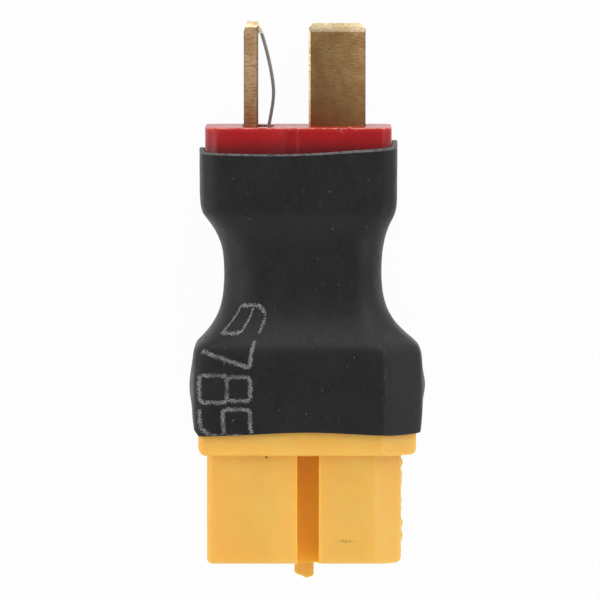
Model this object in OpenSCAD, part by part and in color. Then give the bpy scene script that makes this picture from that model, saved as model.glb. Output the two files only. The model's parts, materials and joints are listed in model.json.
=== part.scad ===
// Battery connector adapter, lying on its back: a moulded socket housing with two round
// contacts at -Y, a moulded plug housing with two flat blades at +Y, and a shrunk sleeve
// over the soldered middle. The origin is under the centre of the whole adapter.

/* [Socket housing] */
// Width of the socket housing's body
body_w = 16.1; // [15.6:0.1:17]
// Thickness of the socket housing's body
body_t = 8.1; // [7.8:0.1:9]
// Length of the body, from its front shoulder to its rear
body_len = 7.8; // [7.4:0.05:9]
// How far the polarity bevel cuts the body's right end, across the width
body_bevel_w = 2.5; // [2:0.1:2.8]
// How far the polarity bevel cuts the body's right end, across the thickness
body_bevel_t = 2.2; // [1.6:0.1:2.6]
// Width of the nose that enters the mating connector
nose_w = 14.35; // [14:0.05:14.8]
// Thickness of the nose
nose_t = 6.4; // [6.1:0.1:6.8]
// Length of the nose
nose_len = 8.05; // [7:0.05:9]
// How far the bevel cuts the nose's right end, across the width
nose_bevel_w = 1.85; // [1.4:0.05:2.1]
// How far the bevel cuts the nose's right end, across the thickness
nose_bevel_t = 1.6; // [1.2:0.1:2]
// How far the nose sits left of the body's middle
nose_shift = 0.24; // [0:0.01:0.3]
// Radius of the long edges of the socket housing
socket_edge_r = 0.5; // [0.2:0.05:0.7]
// Radius round the front of the body and of the nose
socket_front_r = 0.45; // [0.2:0.05:0.6]
// Radius of the body's square front corner, seen from above
body_corner_r = 0.7; // [0.3:0.05:0.9]
// Width of the groove along each broad face of the nose, at its mouth
groove_w = 1.66; // [1.2:0.02:2]
// Depth of that groove
groove_depth = 1.5; // [0.8:0.1:1.7]
// Draft of each wall of that groove, across its whole depth
groove_draft = 0.1; // [0:0.01:0.2]
// How far the groove sits right of the nose's middle
groove_shift = 0.3; // [0:0.05:0.4]
// Number of low ribs on each end of the body
rib_count = 3; // [1:1:3]
// Width of one rib
rib_w = 0.4; // [0.3:0.05:0.5]
// Distance from one rib to the next
rib_pitch = 0.7; // [0.6:0.05:0.8]
// Height of the ribs
rib_h = 0.1; // [0.08:0.01:0.2]
// From the rear of the body to the middle of the ribs
rib_from_rear = 3.1; // [2.6:0.1:3.6]
// Width of the broken moulding gate on the nose
gate_w = 1.43; // [1:0.01:1.8]
// Length of the broken gate
gate_len = 1.25; // [0.8:0.05:1.6]
// Thickness of the broken gate
gate_t = 1.3; // [1:0.1:1.6]

/* [Socket contacts] */
// Distance between the two contacts
contact_pitch = 7.2; // [7:0.05:7.4]
// Inside diameter of the contact, which takes a round pin
contact_bore_d = 3.5; // [3.3:0.05:3.6]
// Depth of that bore
contact_bore_depth = 10.5; // [9:0.1:11]
// Outside diameter of the contact's tube
contact_d = 4.4; // [4.2:0.05:4.6]
// How far the contact lies behind the nose's face
contact_recess = 0.4; // [0.2:0.05:0.8]
// Diameter of the collar that stops the contact in the housing
collar_d = 5; // [4.8:0.05:5.2]
// Length of the collar
collar_len = 1.6; // [1.2:0.1:2]
// From the nose's face to the step that the collar meets
collar_from_face = 9.4; // [8.8:0.1:10]
// Width of the bevel at the mouth of the bore
mouth_bevel = 0.15; // [0.05:0.01:0.2]
// Outside diameter of the solder cup
cup_d = 3.9; // [3.8:0.05:4]
// Wall of the solder cup
cup_wall = 0.3; // [0.25:0.01:0.35]
// Depth of the solder cup
cup_depth = 5.6; // [4.5:0.1:6]
// How far the solder cup stands out of the housing's rear
cup_out = 2.8; // [2.4:0.1:2.9]

/* [Plug housing] */
// Width of the plug housing
plug_w = 13.75; // [13.4:0.05:14.4]
// Thickness of the plug housing
plug_t = 7.4; // [7.2:0.1:8]
// Length of the plug housing
plug_len = 6.1; // [5.8:0.1:7.5]
// How far the plug housing sits left of the socket housing's middle
plug_shift = 0.66; // [0.4:0.01:0.8]
// Radius of the long edges of the plug housing
plug_edge_r = 1; // [0.7:0.05:1.2]
// Clear length between the two housings
housing_gap = 10.3; // [9.8:0.1:11.5]
// Width of the shallow groove on each broad face of the plug housing, at its mouth
plug_groove_w = 0.85; // [0.6:0.05:1.2]
// Depth of that groove
plug_groove_depth = 0.2; // [0.1:0.05:0.5]
// Draft of each wall of that groove, across its whole depth
plug_groove_draft = 0.15; // [0:0.01:0.25]
// How far that groove sits left of the plug housing's middle
plug_groove_shift = 0.35; // [0:0.05:0.5]

/* [Blades] */
// Thickness of the blades
blade_t = 1.06; // [0.95:0.01:1.1]
// Width of the upright blade
upright_w = 4; // [3.8:0.1:4.3]
// How far the upright blade stands out of the plug housing
upright_out = 7.7; // [7.3:0.1:8.2]
// How far the upright blade lies outside the middle of its solder cup
upright_shift = 0.32; // [0.2:0.01:0.36]
// Width of the flat blade
flat_w = 4.2; // [3.9:0.1:4.2]
// How far the flat blade stands out of the plug housing
flat_out = 7.6; // [7.2:0.1:8]
// How far the flat blade's middle lies inside the middle of its solder cup
flat_shift = 1.15; // [1.1:0.01:1.3]
// Height of the upright blade's solder tab
upright_tab_w = 2; // [1.6:0.1:2.1]
// Width of the flat blade's solder tab
flat_tab_w = 2.08; // [1.8:0.02:2.2]
// How far the tabs reach into the solder cups
tab_in_cup = 1.7; // [1:0.1:3]
// Length of the bevel at a blade's tip
tip_bevel = 0.65; // [0.3:0.05:0.8]
// How deep that bevel cuts into the thickness
tip_bevel_depth = 0.24; // [0.15:0.01:0.4]
// Corner cut off each side of the tip
tip_corner = 0.35; // [0.1:0.05:0.4]
// Bevel along each long edge of a blade
long_bevel = 0.12; // [0.05:0.01:0.2]
// Clearance between a blade and its slot in the plug housing
blade_fit = 0.03; // [0.02:0.01:0.06]

/* [Leaf springs] */
// Thickness of the leaf springs
leaf_t = 0.24; // [0.16:0.01:0.26]
// Width of the leaf springs
leaf_w = 2.6; // [2:0.1:3]
// How far the middle of the leaf bows out from its blade
leaf_rise = 1.14; // [1:0.01:1.18]
// How far the tail stands off its blade inside the plug housing
tail_rise = 0.66; // [0.62:0.01:0.74]
// How far the tail reaches into the plug housing
tail_in = 1.3; // [1:0.1:1.6]
// From the plug housing's face to the top of the bow
bow_from_face = 2.55; // [2.2:0.05:2.8]
// Radius of the curl at the leaf's end, round which it swings
curl_r = 0.15; // [0.13:0.01:0.17]
// From the blade's tip to the middle of the curl
curl_from_tip = 0.55; // [0.5:0.05:0.8]
// Clearance of the curl in its seat on the blade
curl_fit = 0.04; // [0.03:0.01:0.06]
// Height of the two lips that hold the curl
lip_h = 0.1; // [0.06:0.01:0.12]
// Length of the seat, over both lips
seat_len = 0.56; // [0.5:0.02:0.7]
// How deep the seat goes into the blade's face
seat_sink = 0.02; // [0.01:0.01:0.03]
// Depth, across the leaf, of the slot that takes its tail
leaf_slot = 1.1; // [1.05:0.01:1.2]
// Clearance of the tail at the slot's ends and floor
tail_clear = 0.3; // [0.2:0.05:0.4]

/* [Shrunk sleeve] */
// Wall of the sleeve
sleeve_wall = 0.4; // [0.3:0.05:0.5]
// Clearance between the sleeve and both housings
sleeve_fit = 0.04; // [0.03:0.01:0.08]
// Length of the socket body's front that the sleeve leaves bare
body_bare = 1.7; // [1.3:0.1:2.5]
// Length of the plug housing that the sleeve leaves bare
plug_bare = 1.65; // [1.3:0.05:2.2]
// Outside width of the sleeve at its neck
neck_w = 11.64; // [11.5:0.02:12.5]
// Outside thickness of the sleeve at its neck
neck_t = 5.6; // [5.3:0.1:6.4]
// Radius of the neck's ends
neck_r = 2.3; // [2:0.1:2.4]
// How far the neck sits left of the socket housing's middle
neck_shift = 0.33; // [0.1:0.01:0.4]
// Where the neck is narrowest, as a length from the socket housing's rear
neck_from_rear = 5.6; // [5:0.1:6]
// How steeply the sleeve falls from the socket housing to the neck
socket_fall = 2.9; // [2:0.1:3.2]
// How steeply the sleeve falls from the plug housing to the neck
plug_fall = 2.7; // [2:0.1:3.2]
// Length over which the sleeve stays full past a housing's end
shoulder_len = 0.15; // [0.1:0.01:0.25]
// Length over which the sleeve's swelling over the ribs dies away
swell_fade = 1.2; // [0.6:0.1:1.6]
// Height of the waves in the rim over the socket housing
socket_rim_wave = 0.14; // [0:0.01:0.2]
// Height of the waves in the rim over the plug housing
plug_rim_wave = 0.29; // [0:0.01:0.4]
// Slant of the rim over the plug housing
plug_rim_slant = 0.27; // [0:0.01:0.4]

/* [Solder] */
// Length of the solder that creeps up the tab past the cup
solder_creep = 0.8; // [0.5:0.1:1.2]
// Width of the solder where its creep ends, as a share of the cup's inside
solder_taper = 0.55; // [0.4:0.05:0.8]
// Clearance between the solder and the wall of the cup
solder_fit = 0.01; // [0.01:0.01:0.03]

/* [Hidden] */
$fn = 64;

// The part runs along Y, from the broken gate at -Y to the upright blade's tip at +Y
total_len = gate_len + nose_len + body_len + housing_gap + plug_len + upright_out;
face_y = gate_len - total_len / 2;
shoulder_y = face_y + nose_len;
rear_y = shoulder_y + body_len;
plug_rear_y = rear_y + housing_gap;
plug_face_y = plug_rear_y + plug_len;
upright_tip_y = plug_face_y + upright_out;
flat_tip_y = plug_face_y + flat_out;
cup_end_y = rear_y + cup_out;
cup_floor_y = cup_end_y - cup_depth;
tab_end_y = cup_end_y - tab_in_cup;
contact_end_y = face_y + contact_recess;
collar_y = face_y + collar_from_face;
neck_y = rear_y + neck_from_rear;
bow_y = plug_face_y + bow_from_face;
tail_y = plug_face_y - tail_in;

// Both housings lie with the sleeve's back flat on the surface
socket_z = sleeve_wall + sleeve_fit + body_t / 2;
plug_z = sleeve_wall + sleeve_fit + plug_t / 2;
neck_z = (socket_z + plug_z) / 2;
nose_x = -nose_shift;
plug_x = -plug_shift;
left_x = nose_x - contact_pitch / 2;
right_x = nose_x + contact_pitch / 2;
upright_x = left_x - upright_shift;
flat_x = right_x - flat_shift;
flat_tab_x = flat_x + (flat_w - flat_tab_w) / 2;

// A cut runs this far past the face it opens
over = 0.5;
slot_t = blade_t + 2 * blade_fit;
curl_rise = curl_r + curl_fit - seat_sink;
arc_steps = 4;
leaf_steps = 24;
leaf_curve = 1.5;
housing_rear_r = 0.2;
bore_fit = 0.04;
// Rings crowd together by this power where the sleeve is steepest
ring_crowding = 1.3;
// Keeps a rounded bar's arcs from meeting at a point
arc_relief = 0.001;

function lerp(a, b, t) = a + (b - a) * t;
function unit(v) = v / norm(v);
function clamp01(t) = min(1, max(0, t));

// Arc of radius r that rounds the corner c between its neighbours a and b, anticlockwise
function corner_arc(a, c, b, r, steps) =
    let (u = unit(a - c),
         v = unit(b - c),
         half = acos(u * v) / 2,
         middle = c + unit(u + v) * r / sin(half),
         start = c + u * r / tan(half) - middle,
         from = atan2(start[1], start[0]))
    [for (k = [0 : steps])
        let (angle = from + k * (180 - 2 * half) / steps)
        middle + r * [cos(angle), sin(angle)]];

// Outline through anticlockwise corners, each rounded, with flats[i] points after corner i
function rounded_outline(corners, radii, steps, flats) =
    let (n = len(corners),
         arcs = [for (i = [0 : n - 1])
             corner_arc(corners[(i + n - 1) % n], corners[i], corners[(i + 1) % n], radii[i], steps)])
    [for (i = [0 : n - 1])
        let (begin = arcs[i][steps], finish = arcs[(i + 1) % n][0])
        each concat(arcs[i], [for (k = [1 : 1 : flats[i]]) lerp(begin, finish, k / (flats[i] + 1))])];

// A bevel w by t, as it becomes when its outline grows outwards by d
function grown_bevel(w, t, d) =
    let (slant = norm([w, t]), cut = w * t / slant)
    (cut + d * ((w + t) / slant - 1)) / cut * [w, t];

// Section with square corners on the left and bevelled corners on the right
function bevelled_section(w, t, bevel_w, bevel_t, r, d, flats) =
    let (x = w / 2 + d,
         z = t / 2 + d,
         bevel = grown_bevel(bevel_w, bevel_t, d))
    rounded_outline([[-x, -z], [x - bevel[0], -z], [x, bevel[1] - z],
                     [x, z - bevel[1]], [x - bevel[0], z], [-x, z]],
                    [for (i = [0 : 5]) r + d], arc_steps, flats);

// The same six-cornered section with all its corners at one radius, as a rounded bar
function rounded_section(w, t, r, d, flats) =
    let (x = w / 2 + d,
         z = t / 2 + d,
         bevel = (2 - sqrt(2)) * (r + d))
    rounded_outline([[-x, -z], [x - bevel, -z], [x, bevel - z],
                     [x, z - bevel], [x - bevel, z], [-x, z]],
                    [for (i = [0 : 5]) r + d - arc_relief], arc_steps, flats);

no_flats = [0, 0, 0, 0, 0, 0];

// Extrudes a section drawn in X and Z from y0 to y1
module y_prism(y0, y1) {
    translate([0, y1, 0])
        rotate([90, 0, 0])
            linear_extrude(y1 - y0) children();
}

// Round bar along Y
module y_rod(y0, y1, r) {
    translate([0, y0, 0])
        rotate([-90, 0, 0])
            cylinder(h = y1 - y0, r = r);
}

// Box by its lowest and highest corners
module block(low, high) {
    translate(low) cube(high - low);
}

// Keeps what lies inside a plan and a side outline, with the front rounded by r, and by
// left_r at its left corner in plan
module rounded_front(y0, y1, w, t, left_r, r) {
    rear_r = housing_rear_r;
    outline = function (half, corner_r) rounded_outline(
        [[-half, y0], [half, y0], [half, y1], [-half, y1]],
        [corner_r, r, rear_r, rear_r], arc_steps, no_flats);
    intersection() {
        children();
        translate([0, 0, -t])
            linear_extrude(2 * t) polygon(outline(w / 2, left_r));
        rotate([90, 0, 90])
            translate([0, 0, -w])
                linear_extrude(2 * w) polygon([for (p = outline(t / 2, r)) [p[1], p[0]]]);
    }
}

module socket_body() {
    rounded_front(shoulder_y, rear_y, body_w, body_t, body_corner_r, socket_front_r)
        y_prism(shoulder_y, rear_y)
            polygon(bevelled_section(body_w, body_t, body_bevel_w, body_bevel_t,
                                     socket_edge_r, 0, no_flats));
}

// The nose runs into the body as far as the body's rounded front
module socket_nose() {
    translate([nose_x, 0, 0])
        rounded_front(face_y, shoulder_y + body_bare, nose_w, nose_t, socket_front_r, socket_front_r)
            y_prism(face_y, shoulder_y + body_bare)
                polygon(bevelled_section(nose_w, nose_t, nose_bevel_w, nose_bevel_t,
                                         socket_edge_r, 0, no_flats));
}

module end_ribs() {
    rib_span = body_t - 2 * body_bevel_t - socket_edge_r;
    for (side = [-1, 1], k = [0 : rib_count - 1]) {
        y = rear_y - rib_from_rear + (k - (rib_count - 1) / 2) * rib_pitch;
        x = side * body_w / 2;
        block([x - rib_h, y - rib_w / 2, -rib_span / 2], [x + rib_h, y + rib_w / 2, rib_span / 2]);
    }
}

// The gate was snapped off, so its end is ragged
module broken_gate() {
    translate([nose_x, face_y, -gate_t / 2])
        linear_extrude(gate_t)
            polygon([for (p = [[-0.5, 0.4], [-0.5, -0.58], [-0.44, -0.74], [-0.3, -0.79],
                               [-0.1, -0.87], [0.07, -0.98], [0.16, -1], [0.3, -0.93],
                               [0.42, -0.9], [0.5, -0.78], [0.5, 0.4]])
                [p[0] * gate_w, p[1] * gate_len]]);
}

module contact_seats() {
    for (x = [left_x, right_x])
        translate([x, 0, 0]) {
            y_rod(face_y - over, rear_y + over, contact_d / 2 + bore_fit);
            y_rod(collar_y, rear_y + over, collar_d / 2 + bore_fit);
        }
}

// A groove with drafted walls down the middle of both broad faces of a body that is t thick
module both_grooves(y0, y1, t, w, depth, draft) {
    for (side = [0, 1])
        mirror([0, 0, side])
            y_prism(y0, y1)
                polygon([[-w / 2, t / 2 + over], [-w / 2, t / 2],
                         [draft - w / 2, t / 2 - depth], [w / 2 - draft, t / 2 - depth],
                         [w / 2, t / 2], [w / 2, t / 2 + over]]);
}

module nose_grooves() {
    translate([nose_x + groove_shift, 0, 0])
        both_grooves(face_y - over, shoulder_y, nose_t, groove_w, groove_depth, groove_draft);
}

module socket_housing() {
    color([0.94, 0.68, 0.3])
        translate([0, 0, socket_z])
            difference() {
                union() {
                    socket_body();
                    socket_nose();
                    end_ribs();
                    broken_gate();
                }
                contact_seats();
                nose_grooves();
            }
}

// A turned contact: tube, collar, solid web and solder cup, on the axis x
module contact(x) {
    color([0.8, 0.65, 0.4])
        translate([x, 0, socket_z])
            difference() {
                union() {
                    y_rod(contact_end_y, collar_y + collar_len, contact_d / 2);
                    y_rod(collar_y, collar_y + collar_len, collar_d / 2);
                    y_rod(collar_y, cup_end_y, cup_d / 2);
                }
                y_rod(contact_end_y - over, contact_end_y + contact_bore_depth, contact_bore_d / 2);
                translate([0, contact_end_y, 0])
                    rotate([-90, 0, 0])
                        cylinder(h = mouth_bevel, r1 = contact_bore_d / 2 + mouth_bevel,
                                 r2 = contact_bore_d / 2);
                y_rod(cup_floor_y, cup_end_y + over, cup_d / 2 - cup_wall);
            }
}

module left_socket() { contact(left_x); }
module right_socket() { contact(right_x); }

module plug_grooves() {
    translate([-plug_groove_shift, 0, 0])
        both_grooves(plug_rear_y - over, plug_face_y + over, plug_t, plug_groove_w,
                     plug_groove_depth, plug_groove_draft);
}

// The slots for both blades, each open beside its blade for the tail of a leaf
module blade_slots() {
    slot_floor = tail_y - tail_clear;
    tail_half = leaf_w / 2 + tail_clear;
    block([upright_x - slot_t / 2, plug_rear_y - over, -upright_w / 2 - blade_fit],
          [upright_x + slot_t / 2, plug_face_y + over, upright_w / 2 + blade_fit]);
    block([upright_x, slot_floor, -tail_half],
          [upright_x + blade_t / 2 + leaf_slot, plug_face_y + over, tail_half]);
    block([flat_x - flat_w / 2 - blade_fit, plug_rear_y - over, -slot_t / 2],
          [flat_x + flat_w / 2 + blade_fit, plug_face_y + over, slot_t / 2]);
    block([flat_x - tail_half, slot_floor, -blade_t / 2 - leaf_slot],
          [flat_x + tail_half, plug_face_y + over, 0]);
}

module blade_housing() {
    color([0.66, 0.1, 0.13])
        translate([0, 0, plug_z])
            difference() {
                translate([plug_x, 0, 0])
                    difference() {
                        y_prism(plug_rear_y, plug_face_y)
                            polygon(rounded_section(plug_w, plug_t, plug_edge_r, 0, no_flats));
                        plug_grooves();
                    }
                blade_slots();
            }
}

// Edge view of a blade from tab end to tip, bevelled at the tip on the side away from its leaf
module blade_edge(tip_y) {
    polygon([[blade_t / 2, tab_end_y], [blade_t / 2, tip_y],
             [tip_bevel_depth - blade_t / 2, tip_y], [-blade_t / 2, tip_y - tip_bevel],
             [-blade_t / 2, tab_end_y]]);
}

// Broad view of a blade, with cut corners and a solder tab from tab_low to tab_high
module blade_face(tip_y, w, tab_low, tab_high) {
    polygon([[w / 2 - tip_corner, tip_y], [tip_corner - w / 2, tip_y],
             [-w / 2, tip_y - tip_corner], [-w / 2, plug_rear_y],
             [tab_low, plug_rear_y], [tab_low, tab_end_y],
             [tab_high, tab_end_y], [tab_high, plug_rear_y],
             [w / 2, plug_rear_y], [w / 2, tip_y - tip_corner]]);
}

// Section of a blade, with its four long edges bevelled
module blade_section(w) {
    x = blade_t / 2;
    z = w / 2;
    polygon([[long_bevel - x, -z], [x - long_bevel, -z], [x, long_bevel - z], [x, z - long_bevel],
             [x - long_bevel, z], [long_bevel - x, z], [-x, z - long_bevel], [-x, long_bevel - z]]);
}

// A blade standing on edge in Z, with its leaf's side and the curl's seat towards +X
module blade(tip_y, w, tab_low, tab_high) {
    curl_y = tip_y - curl_from_tip;
    difference() {
        union() {
            intersection() {
                translate([0, 0, -w])
                    linear_extrude(2 * w) blade_edge(tip_y);
                rotate([0, -90, 0])
                    translate([0, 0, -blade_t])
                        linear_extrude(2 * blade_t) blade_face(tip_y, w, tab_low, tab_high);
                y_prism(tab_end_y, tip_y) blade_section(w);
            }
            block([0, curl_y - seat_len / 2, -leaf_w / 2],
                  [blade_t / 2 + lip_h, curl_y + seat_len / 2, leaf_w / 2]);
        }
        translate([blade_t / 2 + curl_rise, curl_y, -leaf_w / 2 - curl_fit])
            cylinder(h = leaf_w + 2 * curl_fit, r = curl_r + curl_fit);
    }
}

module upright_blade() {
    color([0.75, 0.6, 0.38])
        translate([upright_x, 0, plug_z])
            blade(upright_tip_y, upright_w, -upright_tab_w / 2, upright_tab_w / 2);
}

// The flat blade is turned so that its leaf's side faces down
module flat_blade() {
    color([0.75, 0.6, 0.38])
        translate([flat_x, 0, plug_z])
            rotate([0, 90, 0])
                blade(flat_tip_y, flat_w, flat_w / 2 - flat_tab_w, flat_w / 2);
}

// Distance of the leaf's middle plane from the blade's face at the place y: it falls ever
// steeper from the bow to the curl, and comes to lie along the blade at its tail
function leaf_offset(y, curl_y) =
    y > bow_y
        ? lerp(leaf_rise, curl_rise, pow((y - bow_y) / (curl_y - bow_y), leaf_curve))
        : let (t = (bow_y - y) / (bow_y - tail_y)) lerp(leaf_rise, tail_rise, t * t * (3 - 2 * t));

// A bowed leaf along Y, standing on edge in Z, with its blade's face at X = 0
module leaf(tip_y) {
    curl_y = tip_y - curl_from_tip;
    ys = [for (k = [0 : leaf_steps]) lerp(tail_y, curl_y, k / leaf_steps)];
    translate([0, 0, -leaf_w / 2])
        union() {
            linear_extrude(leaf_w)
                polygon(concat(
                    [for (y = ys) [leaf_offset(y, curl_y) - leaf_t / 2, y]],
                    [for (k = [leaf_steps : -1 : 0]) [leaf_offset(ys[k], curl_y) + leaf_t / 2, ys[k]]]));
            translate([curl_rise, curl_y, 0]) cylinder(h = leaf_w, r = curl_r);
        }
}

module upright_leaf_spring() {
    color([0.45, 0.44, 0.44])
        translate([upright_x + blade_t / 2, 0, plug_z])
            leaf(upright_tip_y);
}

module flat_leaf_spring() {
    color([0.45, 0.44, 0.44])
        translate([flat_x, 0, plug_z - blade_t / 2])
            rotate([0, 90, 0])
                leaf(flat_tip_y);
}

// Solder fills the cup round the tab and creeps up the tab in a cone
module solder_joint(x) {
    r = cup_d / 2 - cup_wall - solder_fit;
    color([0.72, 0.73, 0.75])
        difference() {
            translate([x, 0, socket_z]) {
                y_rod(cup_floor_y, cup_end_y, r);
                translate([0, cup_end_y, 0])
                    rotate([-90, 0, 0])
                        cylinder(h = solder_creep, r1 = r, r2 = r * solder_taper);
            }
            children();
        }
}

module left_solder_joint() {
    solder_joint(left_x)
        block([upright_x - blade_t / 2, tab_end_y, plug_z - upright_tab_w / 2],
              [upright_x + blade_t / 2, plug_rear_y, plug_z + upright_tab_w / 2]);
}

module right_solder_joint() {
    solder_joint(right_x)
        block([flat_tab_x - flat_tab_w / 2, tab_end_y, plug_z - blade_t / 2],
              [flat_tab_x + flat_tab_w / 2, plug_rear_y, plug_z + blade_t / 2]);
}

// How much of a housing's form the sleeve still has at a distance past that housing's end
function hold(past, run, fall) =
    pow(1 - clamp01((past - shoulder_len) / (run - shoulder_len)), fall);

// The sleeve swells over the ribs of the socket body
function rib_swell(y) =
    let (half = (rib_count - 1) / 2 * rib_pitch + rib_w / 2,
         past = abs(y - rear_y + rib_from_rear) - half)
    rib_h * (1 - clamp01(past / swell_fade));

sleeve_flats = [9, 2, 3, 2, 9, 3];

// One ring of the sleeve at the height y, inset from its outer skin
function sleeve_ring(y, inset) =
    let (d = sleeve_fit + sleeve_wall - inset,
         socket_share = y < neck_y ? hold(y - rear_y, neck_y - rear_y, socket_fall) : 0,
         plug_share = y > neck_y ? hold(plug_rear_y - y, plug_rear_y - neck_y, plug_fall) : 0,
         neck_share = 1 - socket_share - plug_share,
         socket_part = bevelled_section(body_w + 2 * rib_swell(y), body_t, body_bevel_w, body_bevel_t,
                                        socket_edge_r, d, sleeve_flats),
         plug_part = rounded_section(plug_w, plug_t, plug_edge_r, d, sleeve_flats),
         neck_part = rounded_section(neck_w, neck_t, neck_r, -inset, sleeve_flats))
    [for (k = [0 : len(socket_part) - 1])
        socket_share * (socket_part[k] + [0, socket_z])
        + plug_share * (plug_part[k] + [plug_x, plug_z])
        + neck_share * (neck_part[k] + [-neck_shift, neck_z])];

// Places of the cut rims for a point whose direction round the sleeve is angle
function socket_rim(angle) = shoulder_y + body_bare + socket_rim_wave * cos(4 * angle);
function plug_rim(angle) = plug_face_y - plug_bare
    + plug_rim_wave * cos(2 * angle) + plug_rim_slant * cos(angle);

// Direction of a point round a section that is w by t about the middle point
function direction(p, middle, w, t) = atan2((p[1] - middle[1]) / t, (p[0] - middle[0]) / w);

module shrink_sleeve() {
    bottom_y = shoulder_y + body_bare + 2 * socket_rim_wave;
    top_y = plug_face_y - plug_bare - plug_rim_wave - plug_rim_slant;
    heights = concat(
        [for (k = [0 : 7]) lerp(bottom_y, rear_y, k / 7)],
        [for (k = [1 : 13]) lerp(rear_y, neck_y, pow(k / 13, ring_crowding))],
        [for (k = [1 : 11]) lerp(neck_y, plug_rear_y, 1 - pow(1 - k / 11, ring_crowding))],
        [for (k = [1 : 3]) lerp(plug_rear_y, top_y, k / 3)]);
    rows = len(heights) + 2;
    count = len(sleeve_ring(neck_y, 0));
    socket_ends = sleeve_ring(bottom_y, 0);
    plug_ends = sleeve_ring(top_y, 0);
    low_rim = [for (p = socket_ends) socket_rim(direction(p, [0, socket_z], body_w, body_t))];
    high_rim = [for (p = plug_ends) plug_rim(direction(p, [plug_x, plug_z], plug_w, plug_t))];
    skin = function (inset) [
        for (row = [0 : rows - 1])
            let (y = heights[min(max(row - 1, 0), rows - 3)],
                 ring = sleeve_ring(y, inset))
            for (k = [0 : count - 1])
                [ring[k][0], row == 0 ? low_rim[k] : row == rows - 1 ? high_rim[k] : y, ring[k][1]]];
    inner = rows * count;
    last = (rows - 1) * count;
    color([0.2, 0.2, 0.2])
        polyhedron(
            points = concat(skin(0), skin(sleeve_wall)),
            faces = concat(
                [for (row = [0 : rows - 2], k = [0 : count - 1])
                    let (a = row * count + k, b = row * count + (k + 1) % count)
                    each [[a, b, b + count], [a, b + count, a + count],
                          [inner + b, inner + a, inner + a + count],
                          [inner + b, inner + a + count, inner + b + count]]],
                [for (k = [0 : count - 1])
                    let (n = (k + 1) % count)
                    each [[n, k, inner + k], [n, inner + k, inner + n],
                          [last + k, last + n, inner + last + n],
                          [last + k, inner + last + n, inner + last + k]]]),
            convexity = 6);
}

socket_housing();
left_socket();
right_socket();
blade_housing();
upright_blade();
flat_blade();
upright_leaf_spring();
flat_leaf_spring();
left_solder_joint();
right_solder_joint();
shrink_sleeve();
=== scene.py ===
import json
import math

import bmesh
import bpy
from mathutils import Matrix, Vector
from mathutils.bvhtree import BVHTree


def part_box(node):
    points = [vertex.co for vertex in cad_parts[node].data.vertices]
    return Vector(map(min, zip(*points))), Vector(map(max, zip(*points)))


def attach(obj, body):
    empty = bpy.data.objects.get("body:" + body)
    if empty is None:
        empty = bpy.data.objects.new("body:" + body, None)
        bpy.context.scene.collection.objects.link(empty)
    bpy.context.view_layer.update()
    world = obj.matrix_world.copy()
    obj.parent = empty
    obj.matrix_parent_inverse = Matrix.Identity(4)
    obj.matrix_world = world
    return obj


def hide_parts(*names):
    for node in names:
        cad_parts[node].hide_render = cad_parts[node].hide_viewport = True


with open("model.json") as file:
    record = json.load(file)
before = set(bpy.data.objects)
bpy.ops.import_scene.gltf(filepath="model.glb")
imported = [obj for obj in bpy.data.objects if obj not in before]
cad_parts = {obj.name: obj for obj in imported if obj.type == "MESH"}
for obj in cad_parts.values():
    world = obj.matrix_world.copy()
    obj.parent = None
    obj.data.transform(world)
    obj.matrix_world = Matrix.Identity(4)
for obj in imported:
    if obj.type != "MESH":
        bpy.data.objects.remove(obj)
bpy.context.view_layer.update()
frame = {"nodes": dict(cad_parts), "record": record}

# Socket housing. One injection moulding in yellow nylon: a body that the sleeve grips, and a
# narrower nose with a groove down its middle and a snapped-off gate at its end. The mould left
# every edge slightly round and a thin flash on the nose's right end, and the nose is scuffed.
MM = 0.001
mount = {m["name"]: Vector(m["pos_m"]) for m in frame["record"]["mounts"]}
nose_root = mount["nose"]


def softened_copy(node, name, edge, reshape=None):
    """A CAD piece's copy, merged, its corners moved by reshape and its edges rounded by edge."""
    form = bmesh.new()
    form.from_mesh(frame["nodes"][node].data)
    bmesh.ops.remove_doubles(form, verts=form.verts, dist=0.001 * MM)
    bmesh.ops.dissolve_limit(form, angle_limit=math.radians(0.4), verts=form.verts,
                             edges=form.edges, use_dissolve_boundaries=False)
    if reshape:
        reshape(form)
    mesh = bpy.data.meshes.new(name)
    form.to_mesh(mesh)
    form.free()
    mesh.polygons.foreach_set("use_smooth", [True] * len(mesh.polygons))
    piece = bpy.data.objects.new(name, mesh)
    bpy.context.scene.collection.objects.link(piece)
    rounding = piece.modifiers.new("rounding", "BEVEL")
    rounding.width = edge
    rounding.segments = 3
    rounding.limit_method = "ANGLE"
    rounding.angle_limit = math.radians(25)
    rounding.harden_normals = True
    return made_plain(piece)


def made_plain(piece):
    """Turns what the piece's modifiers make of it into its own plain mesh."""
    bpy.context.view_layer.update()
    evaluated = piece.evaluated_get(bpy.context.evaluated_depsgraph_get())
    mesh = bpy.data.meshes.new_from_object(evaluated)
    mesh.name = piece.name
    piece.modifiers.clear()
    piece.data = mesh
    return piece


def srgb(red, green, blue):
    """Linear colour of a display colour whose channels run from 0 to 255."""
    share = [c / 255 for c in (red, green, blue)]
    return [c / 12.92 if c < 0.04045 else ((c + 0.055) / 1.055) ** 2.4 for c in share] + [1]


def surface(name):
    """A new material with its nodes, its links and its main shader."""
    material = bpy.data.materials.new(name)
    material.use_nodes = True
    tree = material.node_tree
    return material, tree.nodes, tree.links, tree.nodes["Principled BSDF"]


def placed(nodes, links, centre=(0, 0, 0), size=(1, 1, 1)):
    """Object coordinates measured from centre, in units of size."""
    where = nodes.new("ShaderNodeTexCoord")
    mapping = nodes.new("ShaderNodeMapping")
    mapping.inputs["Location"].default_value = [-c / s for c, s in zip(centre, size)]
    mapping.inputs["Scale"].default_value = [1 / s for s in size]
    links.new(where.outputs["Object"], mapping.inputs["Vector"])
    return mapping.outputs["Vector"]


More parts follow.
